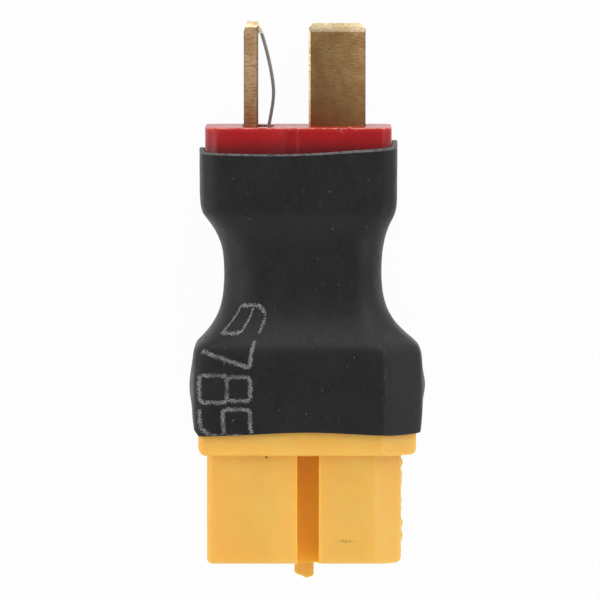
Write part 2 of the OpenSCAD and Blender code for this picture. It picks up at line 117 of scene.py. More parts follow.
def mottle(nodes, links, size, detail=2, roughness=0.5):
    """Noise whose blotches are about size across, in metres along each axis."""
    noise = nodes.new("ShaderNodeTexNoise")
    noise.inputs["Scale"].default_value = 1
    noise.inputs["Detail"].default_value = detail
    noise.inputs["Roughness"].default_value = roughness
    links.new(placed(nodes, links, size=size), noise.inputs["Vector"])
    return noise.outputs["Fac"]


def ranged(nodes, links, value, low, high, out_low=0.0, out_high=1.0):
    """value from low to high, mapped smoothly to the out range and held there."""
    node = nodes.new("ShaderNodeMapRange")
    node.interpolation_type = "SMOOTHSTEP"
    for name, number in (("From Min", low), ("From Max", high),
                         ("To Min", out_low), ("To Max", out_high)):
        node.inputs[name].default_value = number
    links.new(value, node.inputs["Value"])
    return node.outputs["Result"]


def times(nodes, links, first, second):
    """Product of two node outputs."""
    node = nodes.new("ShaderNodeMath")
    node.operation = "MULTIPLY"
    links.new(first, node.inputs[0])
    links.new(second, node.inputs[1])
    return node.outputs["Value"]


def mixed(nodes, links, share, first, second):
    """Colour between first and second, each a colour or a node output."""
    node = nodes.new("ShaderNodeMix")
    node.data_type = "RGBA"
    links.new(share, node.inputs["Factor"])
    for name, colour in (("A", first), ("B", second)):
        socket = next(s for s in node.inputs if s.name == name and s.type == "RGBA")
        if isinstance(colour, bpy.types.NodeSocket):
            links.new(colour, socket)
        else:
            socket.default_value = colour
    return next(s for s in node.outputs if s.type == "RGBA")


def spot(nodes, links, centre, size, soft=0.6):
    """1 inside an ellipsoid of half-axes size round centre, falling to 0 at its edge."""
    length = nodes.new("ShaderNodeVectorMath")
    length.operation = "LENGTH"
    links.new(placed(nodes, links, centre, size), length.inputs[0])
    return ranged(nodes, links, length.outputs["Value"], soft, 1, 1, 0)


def grain(nodes, links, shader, height, depth):
    """Bumps the shader by a height output whose full range stands for depth, in metres."""
    bump = nodes.new("ShaderNodeBump")
    bump.inputs["Strength"].default_value = 1
    bump.inputs["Distance"].default_value = depth
    links.new(height, bump.inputs["Height"])
    links.new(bump.outputs["Normal"], shader.inputs["Normal"])


def yellow_nylon(name, light, dark):
    material, nodes, links, shader = surface(name)
    cloud = mottle(nodes, links, (3 * MM, 4 * MM, 3 * MM))
    colour = mixed(nodes, links, ranged(nodes, links, cloud, 0.3, 0.7), light, dark)
    scuff_at = nose_root + Vector((3.1, -6.35, 3.2)) * MM
    scuff = spot(nodes, links, scuff_at, (0.95 * MM, 0.2 * MM, 1 * MM), 0)
    streak = mottle(nodes, links, (0.2 * MM, 0.07 * MM, 0.2 * MM), 4)
    scuffed = times(nodes, links, scuff, ranged(nodes, links, streak, 0.4, 0.62))
    colour = mixed(nodes, links, scuffed, colour, srgb(168, 126, 66))
    # The pit is drawn only as a dark painted spot: painted shade of a small hollow
    pit_at = nose_root + Vector((-2.78, -0.12, 3.2)) * MM
    pit = spot(nodes, links, pit_at, (0.12 * MM, 0.1 * MM, 1 * MM), 0.5)
    colour = mixed(nodes, links, pit, colour, srgb(122, 78, 22))
    links.new(colour, shader.inputs["Base Color"])
    skin = mottle(nodes, links, (0.12 * MM, 0.12 * MM, 0.12 * MM), 3)
    links.new(ranged(nodes, links, skin, 0.3, 0.7, 0.34, 0.46), shader.inputs["Roughness"])
    shader.inputs["Subsurface Weight"].default_value = 0.85
    shader.inputs["Subsurface Radius"].default_value = (1.0, 0.5, 0.06)
    shader.inputs["Subsurface Scale"].default_value = 1.3 * MM
    shader.inputs["Specular IOR Level"].default_value = 0.45
    grain(nodes, links, shader, skin, 0.012 * MM)
    return material


def coated_where(piece, material, chosen):
    """Gives the material to the faces whose centre and normal are chosen."""
    piece.data.materials.append(material)
    for face in piece.data.polygons:
        if chosen(face.center, face.normal):
            face.material_index = len(piece.data.materials) - 1


nylon_yellow = yellow_nylon("yellow_nylon", srgb(253, 197, 97), srgb(249, 190, 89))
nylon_shaded = yellow_nylon("shaded_nylon", srgb(255, 192, 58), srgb(255, 185, 50))
housing = softened_copy("socket_housing", "moulded_socket_housing", 0.07 * MM)
housing.data.materials.clear()
housing.data.materials.append(nylon_yellow)
# The nose's groove gets a deeper, more saturated copy of the nylon: painted shade, standing in for
# the light that reaches the groove only through the nylon
NOSE_LENGTH = 8 * MM
NOSE_GROOVE_X = nose_root.x + 0.3 * MM
NOSE_GROOVE_REACH = 0.9 * MM
NOSE_GROOVE_FLOOR = 3 * MM
coated_where(housing, nylon_shaded, lambda centre, normal:
             nose_root.y - NOSE_LENGTH < centre.y < nose_root.y and abs(normal.y) < 0.5
             and abs(centre.x - NOSE_GROOVE_X) < NOSE_GROOVE_REACH
             and abs(centre.z - nose_root.z) < NOSE_GROOVE_FLOOR)
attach(housing, "adapter")
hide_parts("socket_housing")


def new_tree(name, inputs):
    """A geometry tree with a mesh in and out, and a named float input for each size."""
    tree = bpy.data.node_groups.new(name, "GeometryNodeTree")
    tree.interface.new_socket("Geometry", in_out="INPUT", socket_type="NodeSocketGeometry")
    for label in inputs:
        tree.interface.new_socket(label, in_out="INPUT", socket_type="NodeSocketFloat")
    tree.interface.new_socket("Geometry", in_out="OUTPUT", socket_type="NodeSocketGeometry")
    return tree, tree.nodes.new("NodeGroupInput"), tree.nodes.new("NodeGroupOutput")


def grown(name, mesh, tree, sizes):
    """A piece that the tree makes from the mesh at these sizes, as a plain mesh."""
    piece = bpy.data.objects.new(name, mesh)
    bpy.context.scene.collection.objects.link(piece)
    growing = piece.modifiers.new("growing", "NODES")
    growing.node_group = tree
    for item in tree.interface.items_tree:
        if item.in_out == "INPUT" and item.name in sizes:
            growing[item.identifier] = sizes[item.name]
    return made_plain(piece)


def line_mesh(begin, finish):
    """A mesh of one edge."""
    mesh = bpy.data.meshes.new("line")
    mesh.from_pydata([begin, finish], [(0, 1)], [])
    return mesh


def position_noise(tree, size, detail=2):
    """Noise round zero, from -0.5 to 0.5, with blotches of the given size output."""
    nodes, links = tree.nodes, tree.links
    place = nodes.new("GeometryNodeInputPosition")
    shrink = nodes.new("ShaderNodeVectorMath")
    shrink.operation = "DIVIDE"
    links.new(place.outputs["Position"], shrink.inputs[0])
    links.new(size, shrink.inputs[1])
    noise = nodes.new("ShaderNodeTexNoise")
    noise.inputs["Scale"].default_value = 1
    noise.inputs["Detail"].default_value = detail
    links.new(shrink.outputs["Vector"], noise.inputs["Vector"])
    centred = nodes.new("ShaderNodeMath")
    centred.operation = "SUBTRACT"
    centred.inputs[1].default_value = 0.5
    links.new(noise.outputs["Fac"], centred.inputs[0])
    return centred.outputs["Value"]


def shaded_and_coated(tree, geometry, material):
    """Realizes, smooths and coats the geometry output."""
    real = tree.nodes.new("GeometryNodeRealizeInstances")
    tree.links.new(geometry, real.inputs["Geometry"])
    shade = tree.nodes.new("GeometryNodeSetShadeSmooth")
    tree.links.new(real.outputs["Geometry"], shade.inputs["Geometry"])
    coat = tree.nodes.new("GeometryNodeSetMaterial")
    coat.inputs["Material"].default_value = material
    tree.links.new(shade.outputs["Geometry"], coat.inputs["Geometry"])
    return coat.outputs["Geometry"]


def bead_tree(material):
    """A ragged bead along a line, waving out from it in +X."""
    tree, start, end = new_tree("ragged bead", ["Bead radius", "Wave height", "Wave size"])
    nodes, links = tree.nodes, tree.links
    curve = nodes.new("GeometryNodeMeshToCurve")
    links.new(start.outputs["Geometry"], curve.inputs["Mesh"])
    beads = nodes.new("GeometryNodeResampleCurve")
    beads.inputs["Count"].default_value = 120
    links.new(curve.outputs["Curve"], beads.inputs["Curve"])
    height = nodes.new("ShaderNodeMath")
    height.operation = "MULTIPLY"
    links.new(position_noise(tree, start.outputs["Wave size"], 3), height.inputs[0])
    links.new(start.outputs["Wave height"], height.inputs[1])
    aside = nodes.new("ShaderNodeCombineXYZ")
    links.new(height.outputs["Value"], aside.inputs["X"])
    wave = nodes.new("GeometryNodeSetPosition")
    links.new(beads.outputs["Curve"], wave.inputs["Geometry"])
    links.new(aside.outputs["Vector"], wave.inputs["Offset"])
    ring = nodes.new("GeometryNodeCurvePrimitiveCircle")
    ring.inputs["Resolution"].default_value = 8
    links.new(start.outputs["Bead radius"], ring.inputs["Radius"])
    bead = nodes.new("GeometryNodeCurveToMesh")
    bead.inputs["Fill Caps"].default_value = True
    links.new(wave.outputs["Geometry"], bead.inputs["Curve"])
    links.new(ring.outputs["Curve"], bead.inputs["Profile Curve"])
    links.new(shaded_and_coated(tree, bead.outputs["Mesh"], material), end.inputs["Geometry"])
    return tree


nose_points = [v.co for v in housing.data.vertices if v.co.y < nose_root.y - 2 * MM]
nose_right = max(p.x for p in nose_points)
nose_front = min(p.y for p in nose_points if p.x > nose_right - 1 * MM)
flash_line = line_mesh((nose_right - 0.01 * MM, nose_front + 0.45 * MM, nose_root.z),
                       (nose_right - 0.01 * MM, nose_root.y + 0.2 * MM, nose_root.z))
flash = grown("nose_flash", flash_line, bead_tree(nylon_yellow),
              {"Bead radius": 0.06 * MM, "Wave height": 0.5 * MM, "Wave size": 0.55 * MM})
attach(flash, "adapter")

# Socket contacts. Turned brass tubes with bright plating, pushed into the housing from its
# rear. Their mouths show in the nose and their solder cups lie under the sleeve.


def turned_plating():
    material, nodes, links, shader = surface("turned_plating")
    turning = mottle(nodes, links, (4 * MM, 0.05 * MM, 4 * MM), 2)
    cloud = mottle(nodes, links, (1.2 * MM, 1.5 * MM, 1.2 * MM))
    colour = mixed(nodes, links, ranged(nodes, links, cloud, 0.3, 0.7),
                   srgb(232, 196, 126), srgb(214, 172, 98))
    links.new(colour, shader.inputs["Base Color"])
    shader.inputs["Metallic"].default_value = 1
    links.new(ranged(nodes, links, turning, 0.3, 0.7, 0.2, 0.34), shader.inputs["Roughness"])
    grain(nodes, links, shader, turning, 0.006 * MM)
    return material


plating = turned_plating()
for side in ("left", "right"):
    contact = softened_copy(f"{side}_socket", f"turned_{side}_socket", 0.05 * MM)
    contact.data.materials.clear()
    contact.data.materials.append(plating)
    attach(contact, "adapter")
    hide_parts(f"{side}_socket")

# Plug housing. A red nylon moulding with rounded ends and a shallow groove down each broad
# face. Its mating face was trimmed with a blade, which left torn burrs and a curl there. The
# edge all round that face is painted pale: partly nylon whitened by the blade, partly a painted
# highlight along the edge. The red is painted darker towards the sleeve, as painted shade where
# the sleeve's rim shadows it, and brighter just under the mating face, as a painted highlight.
mating_face = mount["blade_pair"]
plug_low, plug_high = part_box("blade_housing")
TRIM_HEIGHT = 0.2 * MM
# The groove in each broad face: its middle, and how far from it and how deep its corners lie
PLUG_GROOVE_X = mating_face.x - 0.49 * MM
PLUG_GROOVE_REACH = 0.6 * MM
PLUG_GROOVE_DEPTH = 0.25 * MM
# The worn mould's groove: half its width at the top and on the floor, and how much shallower
PLUG_GROOVE_TOP = 0.54 * MM
PLUG_GROOVE_FLOOR = 0.31 * MM
PLUG_GROOVE_RISE = 0.14 * MM


def along_y(nodes, links, begin, finish):
    """0 at the place begin along Y, rising smoothly to 1 at finish."""
    split = nodes.new("ShaderNodeSeparateXYZ")
    links.new(placed(nodes, links), split.inputs["Vector"])
    return ranged(nodes, links, split.outputs["Y"], begin, finish)


def red_nylon():
    material, nodes, links, shader = surface("red_nylon")
    cloud = mottle(nodes, links, (2.5 * MM, 1.2 * MM, 2.5 * MM))
    unshaded_red = mixed(nodes, links, ranged(nodes, links, cloud, 0.3, 0.7),
                  srgb(171, 19, 23), srgb(159, 17, 25))
    # Painted shade: the red darkens towards the sleeve, where the sleeve's rim shadows the housing
    colour = mixed(nodes, links,
                   along_y(nodes, links, mating_face.y - 1.9 * MM, mating_face.y - 0.5 * MM),
                   srgb(112, 15, 20), unshaded_red)
    # Painted highlight: a brighter band of red just under the mating face, where light comes in
    # through that face
    colour = mixed(nodes, links,
                   along_y(nodes, links, mating_face.y - 0.4 * MM, mating_face.y - 0.1 * MM),
                   colour, srgb(184, 36, 30))
    links.new(colour, shader.inputs["Base Color"])
    skin = mottle(nodes, links, (0.1 * MM, 0.16 * MM, 0.1 * MM), 3)
    links.new(ranged(nodes, links, skin, 0.3, 0.7, 0.22, 0.34), shader.inputs["Roughness"])
    shader.inputs["Subsurface Weight"].default_value = 0.3
    shader.inputs["Subsurface Radius"].default_value = (1.0, 0.14, 0.1)
    shader.inputs["Subsurface Scale"].default_value = 0.6 * MM
    shader.inputs["Specular IOR Level"].default_value = 0.35
    grain(nodes, links, shader, skin, 0.006 * MM)
    return material


def whitened_and_highlit_nylon():
    material, nodes, links, shader = surface("whitened_and_highlit_nylon")
    tear = mottle(nodes, links, (0.6 * MM, 0.3 * MM, 0.3 * MM), 4, 0.6)
    colour = mixed(nodes, links, ranged(nodes, links, tear, 0.38, 0.62),
                   srgb(196, 62, 56), srgb(226, 146, 136))
    links.new(colour, shader.inputs["Base Color"])
    shader.inputs["Roughness"].default_value = 0.55
    shader.inputs["Subsurface Weight"].default_value = 0.3
    shader.inputs["Subsurface Radius"].default_value = (1.0, 0.4, 0.35)
    shader.inputs["Subsurface Scale"].default_value = 0.2 * MM
    return material


def eased_groove(form):
    """Makes the groove in each broad face shallow, with slanted walls, as a worn mould does."""
    moved = set()
    for vert in form.verts:
        below = plug_high[2] - mating_face.z - abs(vert.co.z - mating_face.z)
        if below < PLUG_GROOVE_DEPTH and abs(vert.co.x - PLUG_GROOVE_X) < PLUG_GROOVE_REACH:
            on_floor = below > PLUG_GROOVE_DEPTH / 2
            half_width = PLUG_GROOVE_FLOOR if on_floor else PLUG_GROOVE_TOP
            vert.co.x = PLUG_GROOVE_X + math.copysign(half_width, vert.co.x - PLUG_GROOVE_X)
            vert.co.z += on_floor * math.copysign(PLUG_GROOVE_RISE, vert.co.z - mating_face.z)
            moved.add(vert)
    for edge in form.edges:
        edge.smooth = not moved.issuperset(edge.verts)


nylon_red = red_nylon()
nylon_torn_and_highlit = whitened_and_highlit_nylon()
plug = softened_copy("blade_housing", "moulded_blade_housing", 0.08 * MM, eased_groove)
plug.data.materials.clear()
plug.data.materials.append(nylon_red)
# The edge round the mating face takes the pale nylon: partly whitened by the blade, partly a painted
# highlight along the edge
coated_where(plug, nylon_torn_and_highlit, lambda centre, normal:
             centre.y > mating_face.y - TRIM_HEIGHT and 0.2 < normal.y < 0.98)
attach(plug, "adapter")
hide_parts("blade_housing")


def random_vector(tree, low, high, seed):
    """A random vector for each point, between low and high."""
    node = tree.nodes.new("FunctionNodeRandomValue")
    node.data_type = "FLOAT_VECTOR"
    node.inputs["Min"].default_value = low
    node.inputs["Max"].default_value = high
    node.inputs["Seed"].default_value = seed
    return node.outputs["Value"]


def chips_on(tree, points, size, low, high, seed, rotation=None):
    """A small faceted chip on each point, squashed at random between low and high."""
    chip = tree.nodes.new("GeometryNodeMeshIcoSphere")
    chip.inputs["Subdivisions"].default_value = 1
    tree.links.new(size, chip.inputs["Radius"])
    place = tree.nodes.new("GeometryNodeInstanceOnPoints")
    tree.links.new(points, place.inputs["Points"])
    tree.links.new(chip.outputs["Mesh"], place.inputs["Instance"])
    tree.links.new(random_vector(tree, low, high, seed), place.inputs["Scale"])
    turn = rotation or random_vector(tree, (0, 0, 0), (math.tau, math.tau, math.tau), seed + 1)
    tree.links.new(turn, place.inputs["Rotation"])
    return place.outputs["Instances"]


def burr_tree(material, seed):
    """Torn chips at random places along a line."""
    tree, start, end = new_tree("torn burrs", ["Burr size", "Burr spacing", "Burr spread"])
    nodes, links = tree.nodes, tree.links
    curve = nodes.new("GeometryNodeMeshToCurve")
    links.new(start.outputs["Geometry"], curve.inputs["Mesh"])
    points = nodes.new("GeometryNodeCurveToPoints")
    points.mode = "LENGTH"
    links.new(curve.outputs["Curve"], points.inputs["Curve"])
    links.new(start.outputs["Burr spacing"], points.inputs["Length"])
    stray = nodes.new("ShaderNodeVectorMath")
    stray.operation = "MULTIPLY"
    links.new(random_vector(tree, (-1, -1, -0.5), (1, 0.4, 0.3), seed), stray.inputs[0])
    links.new(start.outputs["Burr spread"], stray.inputs[1])
    move = nodes.new("GeometryNodeSetPosition")
    links.new(points.outputs["Points"], move.inputs["Geometry"])
    links.new(stray.outputs["Vector"], move.inputs["Offset"])
    chips = chips_on(tree, move.outputs["Geometry"], start.outputs["Burr size"],
                     (0.15, 0.15, 0.1), (1, 0.7, 0.45), seed + 2)
    links.new(shaded_and_coated(tree, chips, material), end.inputs["Geometry"])
    return tree


burr_y = mating_face.y - 0.03 * MM
burr_z = plug_high[2] - 0.03 * MM
worst_x = mating_face.x + 3.6 * MM
burr_lines = (("edge_burrs", plug_low[0] + 1 * MM, plug_high[0] - 1 * MM, 0.075, 0.14, 0.12, 3),
              ("worst_burrs", worst_x - 0.9 * MM, worst_x + 0.9 * MM, 0.14, 0.12, 0.2, 8))
for name, begin_x, finish_x, size, spacing, spread, seed in burr_lines:
    burrs = grown(name, line_mesh((begin_x, burr_y, burr_z), (finish_x, burr_y, burr_z)),
                  burr_tree(nylon_torn_and_highlit, seed),
                  {"Burr size": size * MM, "Burr spacing": spacing * MM, "Burr spread": spread * MM})
    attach(burrs, "adapter")

curl_z = plug_high[2] + 0.05 * MM
curl_line = line_mesh((worst_x - 0.5 * MM, burr_y - 0.1 * MM, curl_z),
                      (worst_x - 0.35 * MM, burr_y - 0.4 * MM, curl_z))
curl = grown("torn_curl", curl_line, bead_tree(nylon_torn_and_highlit),
             {"Bead radius": 0.03 * MM, "Wave height": 0.8 * MM, "Wave size": 0.16 * MM})
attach(curl, "adapter")

# Blades. Brass strip, sheared to width and bevelled at the tip. The sheared edges are rough
# and the broad faces are smoother and blotched brown. The bevels at the tip and the top of each
# leaf's seat are painted bright: partly rubbed brass, partly painted highlight where they face
# the light. The long bevels are tarnished, but for the one that was filed flat on the flat blade,
# which is painted bright as well, as a painted reflection of the bright surround.
BLADE_BEVEL = 0.12 * MM
BEVEL_FILED = 0.05 * MM


def brass(name, light, dark, pit, pit_size, smooth, rough, depth):
    """Brass blotched from light to dark, and darker towards the housing. Pits are in mm."""
    material, nodes, links, shader = surface(name)
    blotch = mottle(nodes, links, (0.9 * MM, 1.3 * MM, 0.9 * MM), 4, 0.6)
    fine = mottle(nodes, links, [s * MM for s in pit_size], 4, 0.62)
    clean = mixed(nodes, links, ranged(nodes, links, blotch, 0.32, 0.7), light, dark)
    colour = mixed(nodes, links,
                   along_y(nodes, links, mating_face.y - 2 * MM, mating_face.y + 5 * MM),
                   [c * s for c, s in zip(dark, (0.68, 0.52, 0.45, 1))], clean)
    colour = mixed(nodes, links, ranged(nodes, links, fine, 0.45, 0.72), colour, pit)
    links.new(colour, shader.inputs["Base Color"])
    shader.inputs["Metallic"].default_value = 1
    links.new(ranged(nodes, links, fine, 0.3, 0.7, smooth, rough), shader.inputs["Roughness"])
    grain(nodes, links, shader, fine, depth * MM)
    return material


def filed_edge(form):
    """Flattens the bevel along the flat blade's edge next to the upright one."""
    low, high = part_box("flat_blade")
    near = 0.02 * MM
    for vert in form.verts:
        if abs(high[2] - BLADE_BEVEL - vert.co.z) < near and vert.co.x < low[0] + near:
            vert.co.z += BEVEL_FILED


rolled = brass("rolled_brass", srgb(198, 162, 112), srgb(174, 132, 88), srgb(146, 104, 64),
               pit_size=(0.5, 0.08, 0.5), smooth=0.3, rough=0.42, depth=0.02)
sheared = brass("sheared_brass", srgb(222, 188, 148), srgb(198, 160, 118), srgb(150, 110, 72),
                pit_size=(0.5, 0.13, 0.3), smooth=0.42, rough=0.6, depth=0.045)
rubbed_and_highlit = brass("rubbed_highlit_brass", srgb(246, 228, 190), srgb(228, 202, 156), srgb(196, 152, 100),
               pit_size=(0.3, 0.12, 0.3), smooth=0.3, rough=0.45, depth=0.012)
tarnished = brass("tarnished_brass", srgb(158, 138, 108), srgb(142, 122, 94), srgb(116, 94, 66),
                  pit_size=(0.2, 0.2, 0.2), smooth=0.4, rough=0.6, depth=0.012)
# The axis across each blade's broad faces, the way to its leaf along it, and the axis across
# its sheared edges
blade_axes = {"upright": (0, 1, 2), "flat": (2, -1, 0)}
# The least share of a face's normal along an axis, for a face square to it and a tilted one
SQUARE = 0.9
TILTED = 0.1
TIP_TILT = 0.15
LIP_WEAR = 0.02 * MM
LIP_HEIGHT = 0.1 * MM
for side, (broad, to_leaf, narrow) in blade_axes.items():
    blade = softened_copy(f"{side}_blade", f"sheared_{side}_blade", 0.035 * MM,
                          filed_edge if side == "flat" else None)
    # The leaf's seat has a lip, which the swinging leaf has worn a little lower
    outside = [v for v in blade.data.vertices if v.co.y > mating_face.y]
    lip_top = max(v.co[broad] * to_leaf for v in outside)
    for vert in outside:
        if vert.co[broad] * to_leaf > lip_top - LIP_WEAR:
            vert.co[broad] -= LIP_WEAR * to_leaf
    blade.data.materials.clear()
    blade.data.materials.append(rolled)
    coated_where(blade, sheared, lambda centre, normal: abs(normal[narrow]) > SQUARE)
    coated_where(blade, tarnished, lambda centre, normal:
                 TILTED < abs(normal[narrow]) < SQUARE)
    # Painted highlight: the tip bevels that face +Y, the top of the lip and the flat blade's filed
    # bevel take the bright brass, partly rubbed wear and partly painted light
    coated_where(blade, rubbed_and_highlit, lambda centre, normal:
                 normal.y > TIP_TILT or centre[broad] * to_leaf > lip_top - LIP_HEIGHT
                 or (side == "flat" and -SQUARE < normal[narrow] < -TILTED))
    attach(blade, "adapter")
    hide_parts(f"{side}_blade")

# Leaf springs. Bowed strips of spring steel that press the blades home. Each is curled into
# a seat near its blade's tip, where its curled end is painted near white as a painted glint,
# and its tail rides in a slot in the plug housing.


def blued_steel():
    material, nodes, links, shader = surface("blued_steel")
    along = mottle(nodes, links, (0.3 * MM, 2.5 * MM, 0.3 * MM), 3)
    colour = mixed(nodes, links, ranged(nodes, links, along, 0.3, 0.7),
                   srgb(180, 172, 171), srgb(148, 140, 140))
    # Painted glint: a thin band at the curled end is painted near white and made less metallic
    wear_and_glint = along_y(nodes, links, mating_face.y + 6.8 * MM, mating_face.y + 6.95 * MM)
    links.new(mixed(nodes, links, wear_and_glint, colour, srgb(250, 244, 230)), shader.inputs["Base Color"])
    links.new(ranged(nodes, links, wear_and_glint, 0, 1, 0.9, 0.2), shader.inputs["Metallic"])
    shader.inputs["Roughness"].default_value = 0.42
    fine = mottle(nodes, links, (0.04 * MM, 0.4 * MM, 0.04 * MM), 2)
    grain(nodes, links, shader, fine, 0.006 * MM)
    return material


steel = blued_steel()
for side in ("upright", "flat"):
    leaf = softened_copy(f"{side}_leaf_spring", f"bowed_{side}_leaf", 0.03 * MM)
    leaf.data.materials.clear()
    leaf.data.materials.append(steel)
    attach(leaf, f"{side}_leaf")
    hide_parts(f"{side}_leaf_spring")

# Solder joints. Tin solder that fills each cup round its blade's tab. The sleeve hides them,
# so the construction's own solids are kept and only given their finish.


def set_solder():
    material, nodes, links, shader = surface("set_solder")
    ripple = mottle(nodes, links, (0.5 * MM, 0.3 * MM, 0.5 * MM), 3)
    colour = mixed(nodes, links, ripple, srgb(206, 208, 212), srgb(168, 170, 176))
    links.new(colour, shader.inputs["Base Color"])
    shader.inputs["Metallic"].default_value = 1
    links.new(ranged(nodes, links, ripple, 0.3, 0.7, 0.22, 0.4), shader.inputs["Roughness"])
    grain(nodes, links, shader, ripple, 0.03 * MM)
    return material


solder = set_solder()
for side in ("left", "right"):
    joint_mesh = frame["nodes"][f"{side}_solder_joint"].data
    joint_mesh.materials.clear()
    joint_mesh.materials.append(solder)

# Shrink sleeve. Black polyolefin tube, cut with scissors and shrunk with hot air, so it is
# drawn tight over both housings and sags between them. Its cut end at the plug housing is
# painted paler than its skin, as a painted highlight where that rim faces the light. It is
# chafed on the ridge over the socket housing's bevel, and its left side is painted paler in
# patches, as a painted sheen of the bright floor at a grazing angle.
SKIN_LEVELS = 2
SOFTENING_STEPS = 45
RIM_BEVEL = 0.025 * MM
RIM_CREASE = 0.6
END_ZONE = 3 * MM
END_CREEP = 0.05 * MM
END_CREEP_REACH = 2.5 * MM
SNIP_LENGTH = 0.6 * MM
SNIP_REACH = 1.6 * MM
SNIP_RIGHT_X = -8.02 * MM
SNIP_BLEND = 0.45 * MM
# Where the sleeve stands off the housing's sides: middle, reach and height of each swelling
SWELLINGS = (((-8.5, -6.2, 4.5), 2.2, 0.17), ((8.4, -6.2, 4.5), 1.5, 0.16))
sleeve_low, sleeve_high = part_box("shrink_sleeve")
ridge_x = 5.7 * MM
ridge_z = sleeve_high[2]


def shrunk_skin():
    material, nodes, links, shader = surface("shrunk_skin")
    cloud = mottle(nodes, links, (2.2 * MM, 3.5 * MM, 2.2 * MM), 3)
    rub = mottle(nodes, links, (0.35 * MM, 0.5 * MM, 0.35 * MM), 4, 0.65)
    colour = mixed(nodes, links, ranged(nodes, links, cloud, 0.35, 0.7),
                   srgb(25, 25, 26), srgb(30, 30, 31))
    colour = mixed(nodes, links, ranged(nodes, links, rub, 0.6, 0.8, 0, 0.5),
                   colour, srgb(58, 58, 60))
    ridge = spot(nodes, links, (ridge_x, nose_root.y + 5.2 * MM, ridge_z),
                 (0.4 * MM, 3.4 * MM, 0.6 * MM), 0.2)
    chafe = mottle(nodes, links, (0.16 * MM, 0.12 * MM, 0.16 * MM), 3, 0.7)
    chafed = times(nodes, links, ridge, ranged(nodes, links, chafe, 0.5, 0.66))
    colour = mixed(nodes, links, chafed, colour, srgb(62, 62, 64))
    # Painted sheen: the left side is painted paler in patches where it catches light from the floor
    left_side = spot(nodes, links, (sleeve_low[0], nose_root.y + 5 * MM, nose_root.z),
                     (0.8 * MM, 3.8 * MM, 4 * MM), 0.1)
    painted_side_sheen = times(nodes, links, left_side, ranged(nodes, links, rub, 0.4, 0.65))
    colour = mixed(nodes, links, painted_side_sheen, colour, srgb(58, 58, 59))
    links.new(colour, shader.inputs["Base Color"])
    links.new(ranged(nodes, links, rub, 0.3, 0.7, 0.4, 0.54), shader.inputs["Roughness"])
    shader.inputs["Specular IOR Level"].default_value = 0.3
    skin = mottle(nodes, links, (0.07 * MM, 0.1 * MM, 0.07 * MM), 3)
    grain(nodes, links, shader, skin, 0.01 * MM)
    return material


def highlit_cut_polyolefin():
    material, nodes, links, shader = surface("highlit_cut_polyolefin")
    nicks = mottle(nodes, links, (0.3 * MM, 0.3 * MM, 0.3 * MM), 3)
    # Painted highlight: the cut rim is painted pale grey where it faces the light
    colour = mixed(nodes, links, ranged(nodes, links, nicks, 0.35, 0.7),
                   srgb(108, 106, 107), srgb(70, 70, 72))
    links.new(colour, shader.inputs["Base Color"])
    shader.inputs["Roughness"].default_value = 0.6
    return material


def sleeve_blank():
    """The sleeve's copy in quads, its end at the plug housing bevelled, and its outer faces and the
    cut faces at that end marked.
    """
    form = bmesh.new()
    form.from_mesh(frame["nodes"]["shrink_sleeve"].data)
    bmesh.ops.remove_doubles(form, verts=form.verts, dist=0.001 * MM)
    bmesh.ops.join_triangles(form, faces=form.faces, angle_face_threshold=math.radians(50),
                             angle_shape_threshold=math.radians(100), cmp_seam=False,
                             cmp_sharp=False, cmp_uvs=False, cmp_vcols=False, cmp_materials=False)
    crease = form.edges.layers.float.new("crease_edge")
    cut = form.faces.layers.bool.new("cut_end")
    outer = form.faces.layers.bool.new("outer_skin")
    middle = Vector((0, 0, nose_root.z))
    for face in form.faces:
        centre = face.calc_center_median()
        out = centre - middle
        at_end = not nose_root.y + END_ZONE < centre.y < mating_face.y - END_ZONE
        face[cut] = at_end and abs(face.normal.y) > 0.8
        face[outer] = not face[cut] and face.normal.x * out.x + face.normal.z * out.z > 0
    rims = [e for e in form.edges if len({bool(f[cut]) for f in e.link_faces}) == 2
            and e.verts[0].co.y > 0]
    trimmed = bmesh.ops.bevel(form, geom=rims, offset=RIM_BEVEL, segments=1, affect="EDGES")
    for face in trimmed["faces"]:
        face[cut] = True
        face[outer] = False
    for edge in form.edges:
        if len({bool(f[cut]) for f in edge.link_faces}) == 2:
            edge[crease] = RIM_CREASE
    for face in form.faces:
        # Only the cut end at the plug housing keeps the pale coat, which is a painted highlight
        face[cut] = face[cut] and face.calc_center_median().y > 0
    mesh = bpy.data.meshes.new("sleeve_blank")
    form.to_mesh(mesh)
    form.free()
    return mesh


def marked(tree, name):
    """The mesh's own true or false mark of that name."""
    node = tree.nodes.new("GeometryNodeInputNamedAttribute")
    node.data_type = "BOOLEAN"
    node.inputs["Name"].default_value = name
    return node.outputs["Attribute"]


